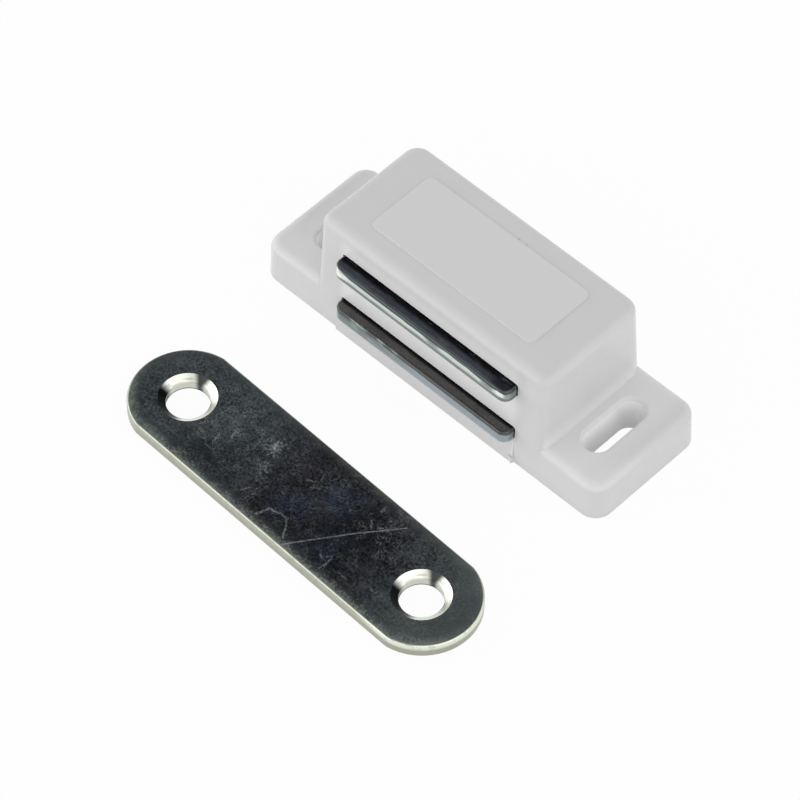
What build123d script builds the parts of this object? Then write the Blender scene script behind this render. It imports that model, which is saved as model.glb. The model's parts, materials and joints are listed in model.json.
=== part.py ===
from build123d import *
import os
from math import cos, radians, sin, tan

# Magnetic catch: a moulded housing with two slotted ears, a ferrite magnet between two steel
# pole plates that floats inside it, and the loose steel strike plate that goes on the door.
#
# Frame: origin at the centre of the housing's mounting face, +Z away from that face,
# +X along the housing, pole faces towards -Y. All sizes in millimetres.

# ---- Magnet pack -----------------------------------------------------------------------------
pole_thickness = 1.5
pole_reach = 1.2            # poles proud of the housing's front at the mounting face
pole_front_corner = 1.0     # in plan
pole_rear_corner = 0.5      # in plan
pole_edge = 0.3             # rolled upper edge of the blanked plate
magnet_thickness = 5.0
magnet_inset = 0.4          # magnet narrower than the poles, each side
magnet_edge = 0.3           # bevel round the sintered block
float_travel = 0.5          # how far the pack can slide back in its pocket

# ---- Housing ---------------------------------------------------------------------------------
body_length = 30.4          # top of the body
body_depth = 13.9           # top of the body
draft = 2.2                 # degrees, on every upright face
floor = 3.6                 # mounting face to the lower pole
roof = 3.1                  # upper pole to the top of the body
side_wall = 3.45            # poles to the end of the body, at its top
front_wall = 1.9            # at the mounting face
body_front_corner = 1.2
body_rear_corner = 1.8
body_top_edge = 1.1

ear_length = 7.24           # beyond the body, at the ear's top
ear_height = 4.7
ear_corner = 2.0
ear_top_edge = 0.95
slot_width = 2.9
slot_length = 7.8
slot_offset = 2.67          # slot's middle beyond the body's end, at the ear's top
slot_rim = 0.4              # rounding of the slot's upper rim

panel_border = 4.35         # matt panel to the body's ends
panel_margin = 2.58         # matt panel to the body's front and rear
panel_corner = 0.8
panel_rise = 0.1
panel_edge = 0.06

pocket_clearance = 0.2      # pack to pocket, all round
slot_clearance = 0.1        # pole plates to the slots in the front wall
pocket_corner = 0.3
nib_reach = 0.9             # snap nib's height off the pocket's side wall
nib_depth = 1.2
nib_height = 7.0
nib_root = 0.5              # nib carried into the wall
nib_setback = 1.43          # nibs to the housing's rear at the mounting face
sill_rise = 0.25            # wedge under the lower pole, proud of the front at its foot
sill_overrun = 0.5          # beyond the lower slot, at the end without the flash
sill_sink = 0.03            # wedge's top edge, inside the wall
flash_reach = 0.15          # sliver of moulding flash at the sill's end
flash_width = 0.6
flash_height = 0.9

cell_length = 4.2           # cores in the underside
cell_width = 3.4
cells_along = 5
cells_across = 3
rib = 1.2
floor_skin = 1.2            # left between the cores and the pocket
core_draft = 1.0            # degrees

# ---- Strike plate ----------------------------------------------------------------------------
strike_length = 45.4
strike_width = 11.9
strike_thickness = 1.5
strike_end_bulge = 0.1      # end arcs' radius over half the width
strike_edge = 0.32          # rolled edge on the countersunk side
screw_hole_radius = 2.25
countersink_radius = 3.0
countersink_angle = 100     # degrees
hole_to_end = 6.1
strike_gap = 12.02          # housing's front to the strike plate's side
strike_shift = 0.64         # strike plate's middle along the housing
strike_turn = -2.0          # degrees, as the loose plate lies beside the housing

# ---- Worked out ------------------------------------------------------------------------------
lean = tan(radians(draft))
pack_height = 2 * pole_thickness + magnet_thickness
housing_height = floor + pack_height + roof
base_length = body_length + 2 * housing_height * lean
base_depth = body_depth + 2 * housing_height * lean
body_length_at_ear = body_length + 2 * (housing_height - ear_height) * lean
flange_length = body_length_at_ear + 2 * ear_length + 2 * ear_height * lean
front = -base_depth / 2
rear = base_depth / 2

pocket_front = front + front_wall
nib_front = rear - nib_setback - nib_depth
pole_width = body_length - 2 * side_wall
magnet_width = pole_width - 2 * magnet_inset
magnet_depth = nib_front - float_travel - pocket_front
pole_front = front - pole_reach
pole_depth = pocket_front + magnet_depth - pole_front
lower_pole_base = floor
magnet_base = lower_pole_base + pole_thickness
upper_pole_base = magnet_base + magnet_thickness

pocket_width = pole_width + 2 * pocket_clearance
pocket_height = pack_height + 2 * pocket_clearance
pole_slot_width = pole_width + 2 * slot_clearance
pack_middle = floor + pack_height / 2
sill_top = lower_pole_base + pole_thickness / 2
sill_start = -pole_slot_width / 2 - sill_overrun
sill_end = pole_slot_width / 2
slot_middle = body_length_at_ear / 2 + slot_offset

cut_past = 1.0              # how far a cutting solid runs past the face it opens


def pole_plan():
    """Outline of one pole plate, drawn in the current sketch."""
    with Locations((0, pole_front + pole_depth / 2)):
        Rectangle(pole_width, pole_depth)
    fillet(vertices().group_by(Axis.Y)[0], radius=pole_front_corner)
    fillet(vertices().group_by(Axis.Y)[-1], radius=pole_rear_corner)


def upright_edges(part):
    """Edges that cross the body's half height."""
    low = 0.3 * housing_height
    high = 0.7 * housing_height
    return part.edges().filter_by(lambda edge: low < edge.center().Z < high)


# ---- Housing: a filleted flange for the ears, with the drafted body moulded on it -------------
with BuildPart() as flange:
    with BuildSketch(Plane.XY):
        RectangleRounded(flange_length, base_depth, ear_corner)
    extrude(amount=ear_height, taper=draft)
    fillet(flange.faces().sort_by(Axis.Z)[-1].edges(), radius=ear_top_edge)
    with BuildSketch(Plane.XY.offset(-cut_past)):
        with GridLocations(2 * slot_middle, 0, 2, 1):
            SlotOverall(slot_length, slot_width, rotation=90)
    extrude(amount=ear_height + 2 * cut_past, mode=Mode.SUBTRACT)
    for side in (-1, 1):
        rim = [
            edge
            for edge in flange.faces().sort_by(Axis.Z)[-1].edges()
            if abs(edge.center().X - side * slot_middle) < 0.6 * slot_width
            and abs(edge.center().Y) < 0.6 * slot_length
        ]
        fillet(rim, radius=slot_rim)

with BuildPart() as body:
    with BuildSketch(Plane.XY):
        Rectangle(base_length, base_depth)
    extrude(amount=housing_height, taper=draft)
    fillet(upright_edges(body).sort_by(Axis.Y)[:2], radius=body_front_corner)
    fillet(upright_edges(body).sort_by(Axis.Y)[-2:], radius=body_rear_corner)
    fillet(body.faces().sort_by(Axis.Z)[-1].edges(), radius=body_top_edge)

with BuildPart() as housing:
    add(flange.part)
    add(body.part)

    # Matt panel, a thin step on the top
    with BuildSketch(Plane.XY.offset(housing_height)):
        RectangleRounded(body_length - 2 * panel_border, body_depth - 2 * panel_margin, panel_corner)
    extrude(amount=panel_rise)
    chamfer(housing.faces().sort_by(Axis.Z)[-1].edges(), length=panel_edge)

    # Sill: a thin wedge that fades into the wall at the lower slot, with a sliver of flash
    with BuildSketch(Plane.YZ.offset(sill_start)):
        with BuildLine():
            Polyline(
                (front - sill_rise, 0),
                (front + front_wall / 2, 0),
                (front + front_wall / 2, sill_top),
                (front + sill_top * lean + sill_sink, sill_top),
                close=True,
            )
        make_face()
    extrude(amount=sill_end - sill_start)
    with BuildSketch(Plane.XY):
        with BuildLine():
            Polyline(
                (sill_end - flash_width, front - sill_rise / 2),
                (sill_end, front - sill_rise - flash_reach),
                (sill_end + flash_width / 4, front + sill_rise),
                (sill_end - flash_width, front + sill_rise),
                close=True,
            )
        make_face()
    extrude(amount=flash_height)

    # Pocket for the magnet pack, open at the rear
    with BuildSketch(Plane.XZ.offset(-pocket_front)):
        with Locations((0, pack_middle)):
            RectangleRounded(pocket_width, pocket_height, pocket_corner)
    extrude(amount=-(rear + cut_past - pocket_front), mode=Mode.SUBTRACT)

    # Slots in the front wall for the two poles; the bar between them stops the magnet
    with BuildSketch(Plane.XZ.offset(-pocket_front)):
        for pole_base in (lower_pole_base, upper_pole_base):
            with Locations((0, pole_base + pole_thickness / 2)):
                RectangleRounded(pole_slot_width, pole_thickness + 2 * slot_clearance, pocket_corner)
    extrude(amount=front_wall + pole_reach + cut_past, mode=Mode.SUBTRACT)

    # Snap nibs behind the pack: square on the side that holds it, sloped where it is pushed in
    with BuildSketch(Plane.XY.offset(pack_middle - nib_height / 2)):
        for side in (-1, 1):
            with BuildLine(Plane.XY):
                Polyline(
                    (side * (pocket_width / 2 + nib_root), nib_front),
                    (side * (pocket_width / 2 - nib_reach), nib_front),
                    (side * (pocket_width / 2 - nib_reach), nib_front + nib_depth / 4),
                    (side * pocket_width / 2, nib_front + nib_depth),
                    (side * (pocket_width / 2 + nib_root), nib_front + nib_depth),
                    close=True,
                )
            make_face()
    extrude(amount=nib_height)

    # Cored underside: cells between ribs below the pocket's floor
    with BuildSketch(Plane.XY):
        with GridLocations(cell_length + rib, cell_width + rib, cells_along, cells_across):
            Rectangle(cell_length, cell_width)
    extrude(amount=floor - pocket_clearance - floor_skin, taper=core_draft, mode=Mode.SUBTRACT)
housing.part.label = "housing"

# ---- Magnet: one ferrite block ---------------------------------------------------------------
with BuildPart() as magnet:
    with Locations((0, pocket_front + magnet_depth / 2, magnet_base + magnet_thickness / 2)):
        Box(magnet_width, magnet_depth, magnet_thickness)
    chamfer(magnet.edges(), length=magnet_edge)
magnet.part.label = "magnet"

# ---- Pole plates: blanked steel, upper edges rolled over by the press -------------------------
with BuildPart() as lower_pole_plate:
    with BuildSketch(Plane.XY.offset(lower_pole_base)):
        pole_plan()
    extrude(amount=pole_thickness)
    fillet(lower_pole_plate.faces().sort_by(Axis.Z)[-1].edges(), radius=pole_edge)
lower_pole_plate.part.label = "lower_pole_plate"

with BuildPart() as upper_pole_plate:
    with BuildSketch(Plane.XY.offset(upper_pole_base)):
        pole_plan()
    extrude(amount=pole_thickness)
    fillet(upper_pole_plate.faces().sort_by(Axis.Z)[-1].edges(), radius=pole_edge)
upper_pole_plate.part.label = "upper_pole_plate"

# ---- Strike plate: blanked steel with arc ends and two countersunk screw holes ----------------
turn = radians(strike_turn)
strike_plane = Plane(
    origin=(strike_shift, front - strike_gap - strike_width / 2, 0),
    x_dir=(cos(turn), sin(turn), 0),
    z_dir=(0, 0, 1),
)
with BuildPart() as strike_plate:
    with BuildSketch(strike_plane):
        SlotOverall(strike_length, strike_width + 2 * strike_end_bulge)
        Rectangle(strike_length, strike_width, mode=Mode.INTERSECT)
    extrude(amount=strike_thickness)
    fillet(strike_plate.faces().sort_by(Axis.Z)[-1].edges(), radius=strike_edge)
    with Locations(strike_plane.offset(strike_thickness)):
        with GridLocations(strike_length - 2 * hole_to_end, 0, 2, 1):
            CounterSinkHole(screw_hole_radius, countersink_radius, counter_sink_angle=countersink_angle)
strike_plate.part.label = "strike_plate"

# ---- One STEP file for each piece ------------------------------------------------------------
os.makedirs("parts", exist_ok=True)
export_step(housing.part, "parts/housing.step")
export_step(magnet.part, "parts/magnet.step")
export_step(lower_pole_plate.part, "parts/lower_pole_plate.step")
export_step(upper_pole_plate.part, "parts/upper_pole_plate.step")
export_step(strike_plate.part, "parts/strike_plate.step")

print("housing", round(flange_length, 2), "x", round(base_depth, 2), "x", round(housing_height, 2))
print("slots at x =", round(slot_middle, 2), " pole width", round(pole_width, 2))
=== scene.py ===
# %% [markdown]
# # Dressing a magnetic catch
# The catch comes in as a fixed frame of five solids: a moulded housing, a magnet between two
# steel poles, and a loose strike plate. Their shapes are already exact, so this lesson is about
# surfaces and light: a glossy light grey moulding, and zinc-plated steel that looks nearly black
# on its flat faces and bright along its rolled edges.

# %% Load the frame
import json
import math
import random

import bpy
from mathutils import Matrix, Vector


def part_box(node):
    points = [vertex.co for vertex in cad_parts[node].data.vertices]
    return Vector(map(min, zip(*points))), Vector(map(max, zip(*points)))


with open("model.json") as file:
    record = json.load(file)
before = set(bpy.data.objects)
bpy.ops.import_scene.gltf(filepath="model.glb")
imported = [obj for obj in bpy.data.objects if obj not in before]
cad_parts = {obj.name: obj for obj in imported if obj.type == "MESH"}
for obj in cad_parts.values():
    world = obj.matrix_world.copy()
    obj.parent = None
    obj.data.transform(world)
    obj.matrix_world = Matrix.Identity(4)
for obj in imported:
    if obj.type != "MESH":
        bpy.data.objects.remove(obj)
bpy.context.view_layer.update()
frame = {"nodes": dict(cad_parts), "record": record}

nodes = frame["nodes"]
mounts = {mount["name"]: mount for mount in frame["record"]["mounts"]}
print("nodes:", sorted(nodes))

# %% [markdown]
# ## The camera
# The catch is seen from its front right corner and from well above, through a long lens, so its
# parallel edges stay almost parallel. Azimuth is measured round the upright axis from the front,
# elevation up from the floor.

# %% Place the camera
AZIMUTH, ELEVATION = math.radians(44.05), math.radians(52.45)
DISTANCE = 0.4775

towards_camera = Vector((
    math.sin(AZIMUTH) * math.cos(ELEVATION),
    -math.cos(AZIMUTH) * math.cos(ELEVATION),
    math.sin(ELEVATION),
))
look_at = Vector((0.00070, -0.01195, 0.00396))

lens = bpy.data.cameras.new("long_lens")
lens.lens = 218.8
lens.sensor_width = 36.0
lens.clip_start, lens.clip_end = 0.01, 20.0
camera = bpy.data.objects.new("camera", lens)
camera.location = look_at + towards_camera * DISTANCE
camera.rotation_euler = (-towards_camera).to_track_quat("-Z", "Y").to_euler()
bpy.context.scene.collection.objects.link(camera)
bpy.context.scene.camera = camera
bpy.context.scene.view_settings.view_transform = "Standard"
print("camera at", [round(v, 3) for v in camera.location])

# %% [markdown]
# ## A small language for node trees
# Every finish below is a sum of masks: noise, distances, heights. Written as nodes one by one,
# such sums are hard to read, so one class wraps an output socket and lets Python's operators add
# the Math nodes. A second class is one node tree, with a single method that adds any node.

# %% Sockets that can be added and multiplied
class Wire:
    """An output socket of a node tree, used like a number."""

    def __init__(self, tree, socket):
        self.tree = tree
        self.socket = socket

    def other(self, name):
        """Another output of the same node."""
        return Wire(self.tree, self.socket.node.outputs[name])

    def maths(self, operation, first, second=0.0):
        return self.tree.node("ShaderNodeMath", {"operation": operation}, {0: first, 1: second})

    def __add__(self, other):
        return self.maths("ADD", self, other)

    def __radd__(self, other):
        return self.maths("ADD", other, self)

    def __sub__(self, other):
        return self.maths("SUBTRACT", self, other)

    def __rsub__(self, other):
        return self.maths("SUBTRACT", other, self)

    def __mul__(self, other):
        return self.maths("MULTIPLY", self, other)

    def __rmul__(self, other):
        return self.maths("MULTIPLY", other, self)

    def __pow__(self, other):
        return self.maths("POWER", self, other)

    def __abs__(self):
        return self.maths("ABSOLUTE", self)

    def or_more(self, other):
        return self.maths("MAXIMUM", self, other)

    def or_less(self, other):
        return self.maths("MINIMUM", self, other)


# %% A node tree with one method for any node
class Tree:
    """The node tree of a material or of the world, emptied and ready to be filled."""

    def __init__(self, owner):
        owner.use_nodes = True
        self.nodes = owner.node_tree.nodes
        self.links = owner.node_tree.links
        self.nodes.clear()

    def node(self, kind, settings=None, values=None, output=0):
        """Add a node: its settings first, then the numbers or wires of its inputs."""
        made = self.nodes.new(kind)
        for name, setting in (settings or {}).items():
            setattr(made, name, setting)
        for name, value in (values or {}).items():
            if isinstance(value, Wire):
                self.links.new(value.socket, made.inputs[name])
            else:
                made.inputs[name].default_value = value
        return Wire(self, made.outputs[output]) if made.outputs else None

    def blend(self, first, second, share):
        """The first colour, turning into the second as share goes from 0 to 1."""
        first = (*first, 1.0) if isinstance(first, tuple) else first
        second = (*second, 1.0) if isinstance(second, tuple) else second
        return self.node("ShaderNodeMix", {"data_type": "RGBA"}, {0: share, 6: first, 7: second}, 2)

    def step(self, value, start, end):
        """0 up to start, 1 from end on, and a smooth rise between them."""
        return self.node(
            "ShaderNodeMapRange",
            {"interpolation_type": "SMOOTHSTEP"},
            {"Value": value, "From Min": start, "From Max": end},
        )

    def noise(self, place, scale, detail=2.0, roughness=0.5):
        """Soft random values round one half, scale times a unit of place."""
        return self.node(
            "ShaderNodeTexNoise",
            {},
            {"Vector": place, "Scale": scale, "Detail": detail, "Roughness": roughness},
        )

    def millimetres(self):
        """The place on the object, as a vector in millimetres."""
        place = self.node("ShaderNodeTexCoord", output="Object")
        return self.node("ShaderNodeVectorMath", {"operation": "SCALE"}, {0: place, "Scale": 1000.0})

    def parts(self, vector):
        """The three parts of a vector."""
        return [self.node("ShaderNodeSeparateXYZ", {}, {0: vector}, axis) for axis in "XYZ"]

    def vectors(self, operation, first, second, output=0):
        """Vector Math on two vectors."""
        return self.node("ShaderNodeVectorMath", {"operation": operation}, {0: first, 1: second}, output)

    def facing_up(self):
        """How far the surface faces straight up or straight down, from 0 to 1."""
        return abs(self.parts(self.node("ShaderNodeTexCoord", output="Normal"))[2])


# %% Marks on a surface
def stroke(tree, spot, start, end, width):
    """1 on a straight mark between two points of the plate, fading to 0 beside it."""
    run = Vector((*end, 0)) - Vector((*start, 0))
    offset = tree.vectors("SUBTRACT", spot, (*start, 0))
    share = tree.vectors("DOT_PRODUCT", offset, run / run.length_squared, "Value")
    share = share.or_more(0.0).or_less(1.0)
    nearest = tree.node("ShaderNodeVectorMath", {"operation": "SCALE"}, {0: run, "Scale": share})
    return 1 - tree.step(tree.vectors("DISTANCE", offset, nearest, "Value"), 0.25 * width, width)


def patch(tree, spot, centre, reach):
    """1 in the middle of a soft round patch, 0 beyond its reach."""
    return 1 - tree.step(tree.vectors("DISTANCE", spot, (*centre, 0), "Value"), 0.2 * reach, reach)


print("Wire, Tree and the marks are ready")

# %% [markdown]
# ## Floor, room and lamps
# A small bright object on white is lit by what surrounds it. Two wide soft lamps stand low on
# either side and a dim ceiling hangs above, so upright faces and rolled edges are bright, and
# flat metal that mirrors the ceiling goes dark. The floor looks white to the camera through
# Light Path, with no more light on the object, and still keeps a faint shadow.

# %% The floor
def white_to_the_eye(tree, plain, strength, in_reflections):
    """The plain shader for light that bounces, and white for rays that look straight at it."""
    path = tree.node("ShaderNodeLightPath")
    looked_at = path.or_more(path.other("Is Transmission Ray"))
    if in_reflections:
        looked_at = looked_at.or_more(path.other("Is Glossy Ray"))
    white = tree.node("ShaderNodeEmission" if in_reflections else "ShaderNodeBackground",
                      {}, {"Color": (1, 1, 1, 1), "Strength": 1.0})
    return tree.node("ShaderNodeMixShader", {}, {0: looked_at * strength, 1: plain, 2: white})


bpy.ops.mesh.primitive_circle_add(vertices=96, radius=3.0, fill_type="NGON")
floor = bpy.context.object
floor.name = "floor"
floor_paper = bpy.data.materials.new("white_paper")
tree = Tree(floor_paper)
paper = tree.node("ShaderNodeBsdfDiffuse", {}, {"Color": (0.9, 0.9, 0.9, 1)})
tree.node("ShaderNodeOutputMaterial", {}, {"Surface": white_to_the_eye(tree, paper, 0.95, True)})
floor.data.materials.append(floor_paper)
print("floor across in m:", round(floor.dimensions.x, 2))

# %% The room
HORIZON, CEILING = 1.05, 0.62

room = bpy.data.worlds.new("room")
bpy.context.scene.world = room
tree = Tree(room)
height = tree.node("ShaderNodeSeparateXYZ", {}, {0: tree.node("ShaderNodeTexCoord", output="Generated")}, 2)
light = HORIZON + (CEILING - HORIZON) * tree.step(height, 0.35, 0.8)
glow = tree.node("ShaderNodeBackground", {}, {"Color": (1, 1, 1, 1), "Strength": light})
tree.node("ShaderNodeOutputWorld", {}, {"Surface": white_to_the_eye(tree, glow, 1.0, False)})
print("light from", HORIZON, "at the horizon to", CEILING, "overhead")

# %% The lamps
def soft_lamp(name, azimuth, elevation, width, height, watts, distance=0.5):
    """A rectangular lamp turned towards the object."""
    a, e = math.radians(azimuth), math.radians(elevation)
    away = Vector((math.sin(a) * math.cos(e), -math.cos(a) * math.cos(e), math.sin(e)))
    light = bpy.data.lights.new(name, "AREA")
    light.shape = "RECTANGLE"
    light.size, light.size_y = width, height
    light.energy = watts
    lamp = bpy.data.objects.new(name, light)
    lamp.location = look_at + away * distance
    lamp.rotation_euler = (-away).to_track_quat("-Z", "Y").to_euler()
    bpy.context.scene.collection.objects.link(lamp)


soft_lamp("right_lamp", 80, 38, 0.80, 0.34, 0.50)
soft_lamp("left_lamp", -48, 12, 0.90, 0.20, 0.85)

# %% [markdown]
# ## The housing's plastic
# The housing is one moulding in light grey plastic with a gloss from the mould's polish. On top
# lies a thin panel whose part of the mould was blasted, so it is matt and a shade lighter. The
# finish follows the moulding: height alone tells the panel from the rest.

# %% Glossy grey plastic with a matt panel
def finished(name, material, pieces):
    """Give the finish to every piece that is made of it."""
    for piece in pieces:
        nodes[piece].data.materials.clear()
        nodes[piece].data.materials.append(material)
    print(name, "on", ", ".join(pieces), "with", len(material.node_tree.nodes), "nodes")


plastic = bpy.data.materials.new("glossy_grey_plastic")
tree = Tree(plastic)
place = tree.millimetres()
x, y, z = tree.parts(place)
housing_top = 1000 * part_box("housing")[1].z
panel = tree.step(z, housing_top - 0.08, housing_top - 0.02)

# Sheltered places are written paler, to offset the shade that they lie in
slot_x = 1000 * abs(mounts["right_screw_slot"]["pos_m"][0])
slot_half_width, slot_half_length = 1.45, 3.9
in_slot = (
    (1 - tree.step(abs(abs(x) - slot_x), slot_half_width + 0.03, slot_half_width + 0.17))
    * (1 - tree.step(abs(y), slot_half_length + 0.02, slot_half_length + 0.2))
    * (1 - tree.step(z, 4.2, 4.6))
)
behind_poles = (
    (1 - tree.step(y, -7.0, -6.6))
    * (1 - tree.step(abs(x), 11.0, 12.6))
    * tree.step(z, 4.6, 5.6)
    * (1 - tree.step(z, 12.4, 14.3))
)
ear_root = (
    tree.step(abs(x), 15.1, 15.4)
    * (1 - tree.step(abs(x), 19.0, 24.0))
    * tree.step(z, 3.8, 4.6)
    * (1 - tree.step(z, 4.9, 7.4))
)
ear_front = tree.step(abs(x), 17.0, 19.5) * tree.step(z, 3.8, 4.3) * (1 - tree.step(y, -5.5, 2.0))
sill_end = (
    (1 - tree.step(abs(x - 11.85), 0.12, 0.30))
    * (1 - tree.step(y, -7.42, -7.30))
    * (1 - tree.step(z, 4.2, 4.5))
)
sheltered = in_slot
for share, place_in_shade in (
    (0.42, behind_poles),
    (0.30, ear_root),
    (0.26, ear_front),
    (0.22, sill_end),
):
    sheltered = sheltered.or_more(share * place_in_shade)

cloud = tree.noise(place, 0.35, 3.0)
grain = tree.noise(place, 14.0, 3.0)
colour = tree.blend((0.612, 0.612, 0.612), (0.645, 0.645, 0.643), cloud)
colour = tree.blend(colour, (0.665, 0.665, 0.665), panel * 0.85)
colour = tree.blend(colour, (0.96, 0.96, 0.96), sheltered)

# Two tiny grey scuffs by the panel's rear edge
on_top = tree.vectors("MULTIPLY", place, (1, 1, 0))
scuff = patch(tree, on_top, (1.0, 4.5), 0.28).or_more(patch(tree, on_top, (2.0, 4.5), 0.24))
scuff = scuff * tree.step(z, 14.0, 14.5)
colour = tree.blend(colour, (0.40, 0.40, 0.38), scuff * 0.45)
gloss = 0.20 + 0.05 * cloud + panel * (0.22 + 0.1 * grain)
sink = tree.node("ShaderNodeBump", {}, {
    "Strength": 0.035,
    "Distance": 0.001,
    "Height": tree.noise(place, 0.22, 1.0),
})
blasting = tree.node("ShaderNodeBump", {}, {
    "Strength": 0.08,
    "Distance": 0.0001,
    "Height": grain * panel,
    "Normal": sink,
})
skin = tree.node("ShaderNodeBsdfPrincipled", {}, {
    "Base Color": colour,
    "Roughness": gloss,
    "IOR": 1.36,
    "Normal": blasting,
})
tree.node("ShaderNodeOutputMaterial", {}, {"Surface": skin})
finished("plastic", plastic, ["housing"])

# %% [markdown]
# ## The pole plates' steel
# Both poles are blanked from zinc-plated sheet. The rolled faces are painted dark and bluish, as a
# painted reflection of the dim ceiling that they mirror, and the edge that the press rolled over is
# burnished and carries a painted highlight, so the finish is split by how squarely the surface faces
# up or down.

# %% Zinc-plated steel for the poles
pole_foot = {name: 1000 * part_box(name)[0].z for name in ("lower_pole_plate", "upper_pole_plate")}
pole_front = 1000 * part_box("upper_pole_plate")[0].y
pole_end = 1000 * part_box("upper_pole_plate")[1].x

pole_steel = bpy.data.materials.new("pole_steel")
tree = Tree(pole_steel)
place = tree.millimetres()
x, y, z = tree.parts(place)
upper = tree.step(z, pole_foot["upper_pole_plate"] - 2, pole_foot["upper_pole_plate"] - 1)
lift = pole_foot["upper_pole_plate"] - pole_foot["lower_pole_plate"]
rise = z - pole_foot["lower_pole_plate"] - lift * upper
inward = y - pole_front
flat = tree.step(tree.facing_up(), 0.90, 0.995)
drawn = tree.vectors("MULTIPLY", place, (0.22, 1.0, 1.0))
streak = tree.noise(drawn, 2.4, 4.0, 0.6)
fine = tree.noise(drawn, 4.5, 3.0, 0.6)
sheen = tree.noise(place, 0.45, 2.0)

# Rolled faces, from a painted shadow line along the wall to the rounded front, which is lighter
spread = 0.4 * (streak - 0.5)
near = 1 - tree.step(inward + spread, 0.0, 0.50)
hidden = tree.step(inward, 1.9, 2.4)
blue_shadow_line = tree.step(inward + spread, 0.72, 1.20) * (1 - hidden)
grey_shadow_line = tree.step(inward + spread, 0.84, 1.18) * (1 - hidden)
blue_face = tree.blend((0.064, 0.071, 0.087), (0.190, 0.222, 0.232), near)
blue_face = tree.blend(blue_face, (0.008, 0.008, 0.010), blue_shadow_line)
blue_face = tree.blend(blue_face, (0.012, 0.013, 0.016), 0.70 * tree.step(x, 8.4, 10.2))
grey_face = tree.blend((0.112, 0.105, 0.101), (0.150, 0.150, 0.146), near)
grey_face = tree.blend(grey_face, (0.012, 0.012, 0.013), grey_shadow_line)
face = tree.blend(grey_face, blue_face, upper)
face = tree.blend(face, (0.20, 0.22, 0.22), tree.step(streak, 0.55, 0.80) * 0.35)
face = tree.blend(face, (0.02, 0.02, 0.025), tree.step(sheen, 0.45, 0.75) * 0.35)

# Sheared edge: rolled over at the top, burnished below, then torn. The bright band below the roll is
# a painted highlight. Two patches are painted dull and both ends bright, as such an edge mirrors a
# room with dark and light places in it.
dull_1 = 1 - tree.step(abs(x + 3 * spread - 2.0), 0.2, 1.3)
dull_2 = (1 - tree.step(abs(x - 9.2), 0.4, 1.1)).or_more(tree.step(x, pole_end - 0.6, pole_end - 0.2))
left_end = 1 - tree.step(x + pole_end, 0.4, 3.0)
right_end = tree.step(x, pole_end - 1.6, pole_end - 1.1)
right_end = right_end * (1 - tree.step(x, pole_end - 0.7, pole_end - 0.3))
taller_highlight = tree.step(x, 2.6, 4.0) * (1 - tree.step(x, 6.5, 8.0))
edge_highlight = tree.blend((0.64, 0.71, 0.66), (0.90, 0.93, 0.88), left_end.or_more(right_end))
edge_highlight = tree.blend(edge_highlight, (0.22, 0.26, 0.25), 0.85 * dull_1.or_more(dull_2))
middle = tree.blend((0.20, 0.225, 0.22), (0.37, 0.42, 0.41), tree.step(rise, 0.28, 0.60))
upper_edge = tree.blend(middle, edge_highlight, tree.step(rise + 0.3 * left_end + 1.6 * spread, 0.42, 0.74))
rightwards = tree.step(x, -8.0, 0.5)
torn = (1 - tree.step(rise + 0.5 * spread, 0.05, 1.0)).or_more(0.80 * rightwards)
lower_edge = tree.blend((0.13, 0.15, 0.155), (0.33, 0.375, 0.41), torn)
lower_edge = tree.blend((0.15, 0.18, 0.175), lower_edge, 0.35 + 0.65 * rightwards)
edge = tree.blend(lower_edge, upper_edge, upper)
roll = tree.blend((0.090, 0.098, 0.098), (0.085, 0.100, 0.105), upper)
raised = (0.30 * left_end + 0.14 * taller_highlight + 0.14 * right_end) * upper
edge = tree.blend(edge, roll, tree.step(rise + spread - raised, 1.00, 1.14))
edge = tree.blend(edge, (0.12, 0.13, 0.13), tree.step(fine, 0.56, 0.75) * 0.35)
scuffed = (
    (1 - upper)
    * (1 - tree.step(abs(x + 6.2), 2.2, 4.2))
    * (1 - tree.step(abs(rise - 1.0) + inward, 0.4, 1.0))
)
scuffs = scuffed * tree.step(streak, 0.46, 0.60)
steel = tree.node("ShaderNodeBsdfPrincipled", {}, {
    "Base Color": tree.blend(tree.blend(edge, face, flat), (0.30, 0.37, 0.35), scuffs * 0.7),
    "Metallic": 1.0,
    "Roughness": 0.20 + 0.14 * fine,
    "Normal": tree.node("ShaderNodeBump", {}, {"Strength": 0.10, "Distance": 0.0001, "Height": streak}),
})
tree.node("ShaderNodeOutputMaterial", {}, {"Surface": steel})
finished("pole steel", pole_steel, ["lower_pole_plate", "upper_pole_plate"])

# %% [markdown]
# ## The magnet
# Ferrite is a ceramic: dark, dull and faintly speckled. Only its rear edge shows, through the
# open back of the housing.

# %% Sintered ferrite
ferrite = bpy.data.materials.new("sintered_ferrite")
tree = Tree(ferrite)
place = tree.millimetres()
specks = tree.noise(place, 9.0, 4.0, 0.7)
block = tree.node("ShaderNodeBsdfPrincipled", {}, {
    "Base Color": tree.blend((0.018, 0.018, 0.020), (0.075, 0.074, 0.076), specks),
    "Roughness": 0.55 + 0.2 * specks,
    "Normal": tree.node("ShaderNodeBump", {}, {"Strength": 0.2, "Distance": 0.0001, "Height": specks}),
})
tree.node("ShaderNodeOutputMaterial", {}, {"Surface": block})
finished("ferrite", ferrite, ["magnet"])

# %% [markdown]
# ## The strike plate's steel
# The loose plate's zinc is mottled, greenish towards the ends and navy in the middle, with fine pale
# scratches; its flat face is painted dark as a painted reflection of the dim ceiling that it mirrors,
# while the sheared edge and the countersinks are bright. The marks are laid out in the plate's own
# directions, found from its two screw holes.

# %% The plate's own directions
left_hole = Vector(mounts["strike_hole_left"]["pos_m"]) * 1000
right_hole = Vector(mounts["strike_hole_right"]["pos_m"]) * 1000
plate_middle = (left_hole + right_hole) / 2
plate_along = (right_hole - left_hole).normalized()
plate_across = Vector((-plate_along.y, plate_along.x, 0))
hole_pitch = (right_hole - left_hole).length
print("plate's middle in mm:", [round(v, 2) for v in plate_middle], "hole pitch:", round(hole_pitch, 2))


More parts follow.
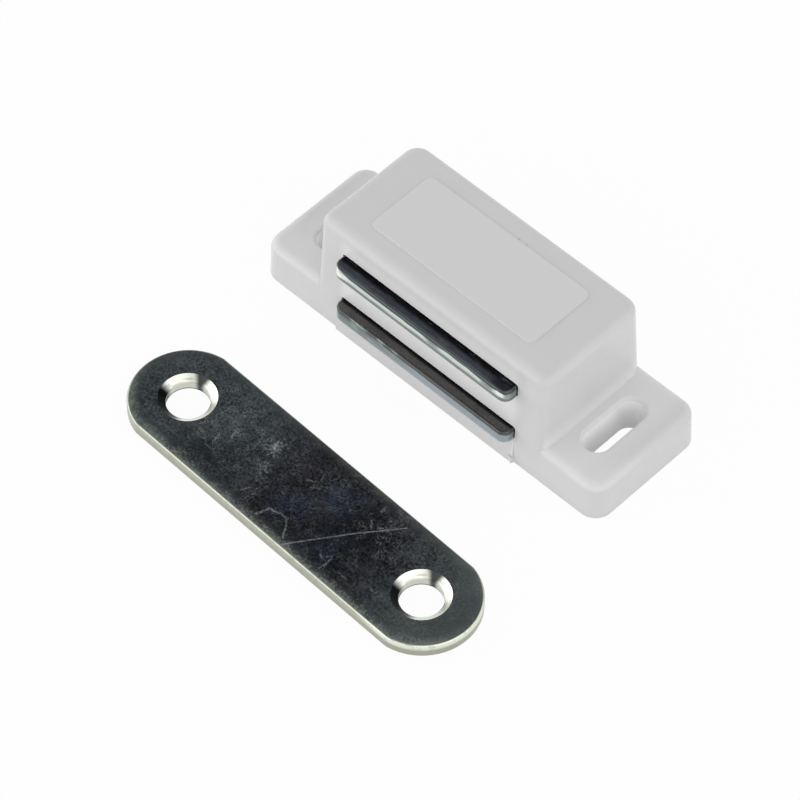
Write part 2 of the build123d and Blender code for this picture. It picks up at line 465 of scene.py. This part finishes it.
def on_the_plate(tree, place):
    """The place along and across the plate from its middle, in millimetres, as a vector."""
    offset = tree.vectors("SUBTRACT", place, plate_middle)
    return tree.node("ShaderNodeCombineXYZ", {}, {
        "X": tree.vectors("DOT_PRODUCT", offset, plate_along, "Value"),
        "Y": tree.vectors("DOT_PRODUCT", offset, plate_across, "Value"),
    })


# %% Marks on the plate
def burst(tree, spot, centre, reach, rays):
    """Fine rays round a pale centre, as where the plate took a knock."""
    offset = tree.vectors("SUBTRACT", spot, (*centre, 0))
    x, y, _ = tree.parts(offset)
    far = tree.vectors("LENGTH", offset, (0, 0, 0), "Value")
    turn = x.maths("ARCTAN2", y, x)
    polar = tree.node("ShaderNodeCombineXYZ", {}, {"X": turn * rays, "Y": far * 1.2})
    spokes = tree.step(tree.noise(polar, 1.0, 2.0), 0.48, 0.62)
    return (spokes * (1 - tree.step(far, 0.35 * reach, reach))).or_more(1 - tree.step(far, 0.1, 0.4))


# %% [markdown]
# One knock, one long scratch and one hooked scratch stand out on the plate. The rest are short
# scuffs, strewn in a few worn places by a seeded generator. Each place is given along and across
# the plate from its middle, in millimetres, rounded to the half.

# %% Where the plate is marked
KNOCK = (-6.0, 2.0)
FAINT_KNOCK = (-5.0, -0.5)
LONG_SCRATCH = [(3.0, -5.5), (7.0, 0.5), (10.0, 4.5)]
HOOKED_SCRATCH = [(-1.5, -5.0), (-1.0, -3.5), (1.0, -3.0), (2.5, -5.0)]
SCUFFED_PLACES = [(-11.5, -1.5), (-3.0, -2.5), (1.0, 2.5), (8.0, 3.0), (8.0, -4.5), (13.5, -4.0)]
NAVY_STAINS = [(0.0, -1.5), (3.5, 2.0), (6.5, -2.5)]
DARK_STAINS = [(-11.0, -3.5), (6.5, -1.0)]
WORN_PALE = [(-12.5, 1.5), (14.5, 3.0)]
SCUFFS_IN_A_PLACE = 6
LONG_WIDTH, HOOKED_WIDTH = 0.11, 0.17

chance = random.Random(5)
scuffs = []
for middle in SCUFFED_PLACES:
    for _ in range(SCUFFS_IN_A_PLACE):
        start = [value + chance.uniform(-1.6, 1.6) for value in middle]
        bearing = chance.uniform(0, 2 * math.pi)
        length = chance.uniform(0.2, 1.1)
        end = [start[0] + length * math.cos(bearing), start[1] + length * math.sin(bearing)]
        scuffs.append((start, end, chance.uniform(0.08, 0.18), chance.uniform(0.12, 0.34)))
print(len(scuffs), "short scuffs in", len(SCUFFED_PLACES), "worn places")

# %% Mottled and scratched zinc
strike_steel = bpy.data.materials.new("strike_steel")
tree = Tree(strike_steel)
place = tree.millimetres()
flat = tree.step(tree.facing_up(), 0.75, 0.97)
on_plate = on_the_plate(tree, place)
along, across, _ = tree.parts(on_plate)

shake = tree.vectors("SUBTRACT", tree.noise(place, 1.6, 3.0).other("Color"), (0.5, 0.5, 0.5))
spot = tree.vectors("ADD", on_plate, tree.vectors("MULTIPLY", shake, (0.45, 0.45, 0.0)))
broken = tree.step(tree.noise(place, 4.2, 2.0, 0.6), 0.42, 0.58)
speckle = tree.noise(place, 3.3, 3.0, 0.75)
pale = (0.62 * burst(tree, spot, KNOCK, 1.7, 3.2)).or_more(0.75 * patch(tree, spot, KNOCK, 0.7))
pale = pale.or_more(0.30 * burst(tree, spot, FAINT_KNOCK, 1.5, 3.0))
for start, end, width, strength in scuffs:
    pale = pale.or_more(stroke(tree, spot, start, end, width) * strength)
for start, end in zip(HOOKED_SCRATCH, HOOKED_SCRATCH[1:]):
    pale = pale.or_more(stroke(tree, spot, start, end, HOOKED_WIDTH) * 0.42)
pale = pale * (0.20 + 0.80 * broken)
for start, end in zip(LONG_SCRATCH, LONG_SCRATCH[1:]):
    line = stroke(tree, on_plate, start, end, LONG_WIDTH)
    pale = pale.or_more(line * 0.52 * (0.35 + 0.65 * broken))

# Mottle, web of fine threads, and the drift from greenish ends to a navy and brown middle, on a face
# painted dark as a painted reflection of the ceiling
cloud = tree.noise(place, 0.30, 3.0, 0.55)
smear = tree.noise(place, 0.75, 3.0, 0.6)
web = 1 - tree.step(abs(tree.noise(place, 1.5, 2.0, 0.6) - 0.5), 0.0, 0.020)
web = web.or_more(1 - tree.step(abs(tree.noise(place, 2.6, 1.0) - 0.5), 0.0, 0.016))
webbed = patch(tree, on_plate, (-11.0, 1.0), 6.5).or_more(0.45 * patch(tree, on_plate, (8.5, 2.5), 5.0))
threads = web * tree.step(tree.noise(place, 0.8, 1.0), 0.42, 0.60) * (0.35 + 0.60 * webbed)
tone = tree.step(speckle + 0.35 * (cloud - 0.5) + 0.22 * (smear - 0.5), 0.32, 0.70)
drift = along + 7 * (cloud - 0.5)
middle = tree.step(drift, -11.0, -1.0) * (1 - tree.step(drift, 9.0, 18.0))
ends = tree.blend((0.022, 0.026, 0.030), (0.096, 0.112, 0.119), tone)
ends = tree.blend(ends, (0.120, 0.140, 0.136), 0.45 * tree.step(along, 12.0, 19.0))
dark = tree.blend((0.007, 0.007, 0.009), (0.054, 0.054, 0.060), tone)
face = tree.blend(ends, dark, middle)
blue = 0.12 * tone
for centre in NAVY_STAINS:
    blue = blue.or_more(0.65 * patch(tree, spot, centre, 4.0))
navy = tree.blend((0.009, 0.012, 0.022), (0.050, 0.066, 0.108), tone)
face = tree.blend(face, navy, blue * tree.step(smear, 0.30, 0.60))
for centre in DARK_STAINS:
    face = tree.blend(face, (0.006, 0.007, 0.010), 0.52 * patch(tree, spot, centre, 4.8))
for centre in WORN_PALE:
    face = tree.blend(face, (0.150, 0.170, 0.178), 0.38 * patch(tree, spot, centre, 4.8) * tone)

overhang = (abs(along) - hole_pitch / 2).or_more(0.0)
end_radius = 5.98
to_edge = end_radius - (overhang * overhang + across * across) ** 0.5
near_side = 1 - tree.step(across, -5.2, 1.5)
far_side = tree.step(across, 3.0, 5.0) * tree.step(along, -9.0, 8.0)
rim = 1 - tree.step(to_edge + 3.4 * (speckle - 0.5) + 1.6 * (smear - 0.5), -0.15, 1.1)
face = tree.blend(face, (0.245, 0.275, 0.240), rim * (0.15 + 0.75 * near_side + 0.25 * far_side))
face = tree.blend(face, (0.27, 0.30, 0.30), threads)
face = tree.blend(face, (0.44, 0.49, 0.50), pale)

# Sheared edge: two tones, a painted highlight along the arris and another towards the plate's right end
z = tree.parts(place)[2]
edge = tree.blend((0.375, 0.382, 0.312), (0.445, 0.450, 0.368), tree.step(z, 0.62, 0.82))
edge = tree.blend(edge, (0.48, 0.50, 0.42), tree.step(z, 1.12, 1.28))
end_highlight = tree.step(along, 13.0, 17.0) * (1 - tree.step(across, 2.0, 5.5))
edge = tree.blend(edge, (0.76, 0.79, 0.68), end_highlight * tree.step(z, 0.70, 1.10))
edge = tree.blend(edge, (0.30, 0.31, 0.26), tree.step(tree.noise(place, 1.6, 3.0), 0.50, 0.70) * 0.4)

# Countersinks, turned bright. Their two dark sectors are painted reflections of what so bright a cone
# mirrors.
bore_radius, sink_radius = 2.25, 3.0
right_half = tree.step(along, -1.0, 1.0)
along_hole = along - (right_half * hole_pitch - hole_pitch / 2)
from_hole = tree.node("ShaderNodeCombineXYZ", {}, {"X": along_hole, "Y": across})
radius = tree.vectors("LENGTH", from_hole, (0, 0, 0), "Value")
turn = across.maths("ARCTAN2", across, along_hole) * math.degrees(1)


def sector_at(angle, half_width, softness):
    """1 within half_width degrees of a direction from the hole's middle."""
    return 1 - tree.step(abs(turn - angle) - half_width, -softness, softness)


dark_sector_reflection = sector_at(-116, 51, 13)
dark_wedge_reflection = sector_at(106, 6 + 9 * (radius - 1.9), 7)
turned = tree.noise(tree.node("ShaderNodeCombineXYZ", {}, {"X": radius * 6, "Y": turn * 0.02}), 1.0, 3.0)
brightness = tree.step(turned + 0.5 * (radius - 2.3), 0.35, 0.68)
cone = tree.blend((0.50, 0.52, 0.45), (0.90, 0.92, 0.82), brightness)
bore = tree.blend((0.12, 0.13, 0.11), (0.58, 0.60, 0.53), tree.step(z, 0.04, 0.22))
cone = tree.blend(bore, cone, tree.step(radius, bore_radius, bore_radius + 0.11))
cone = tree.blend(cone, (0.036, 0.042, 0.040), dark_wedge_reflection * 0.95)
cone = tree.blend(cone, (0.005, 0.006, 0.006), dark_sector_reflection)
in_cone = 1 - tree.step(radius, sink_radius + 0.02, sink_radius + 0.12)
pitted = tree.node("ShaderNodeBump", {}, {
    "Strength": 0.12,
    "Distance": 0.0001,
    "Height": speckle - pale,
})
zinc = tree.node("ShaderNodeBsdfPrincipled", {}, {
    "Base Color": tree.blend(tree.blend(edge, cone, in_cone), face, flat),
    "Metallic": 1.0,
    "Roughness": 0.26 + 0.10 * speckle + 0.15 * pale,
    "Normal": pitted,
})
tree.node("ShaderNodeOutputMaterial", {}, {"Surface": zinc})
finished("strike steel", strike_steel, ["strike_plate"])
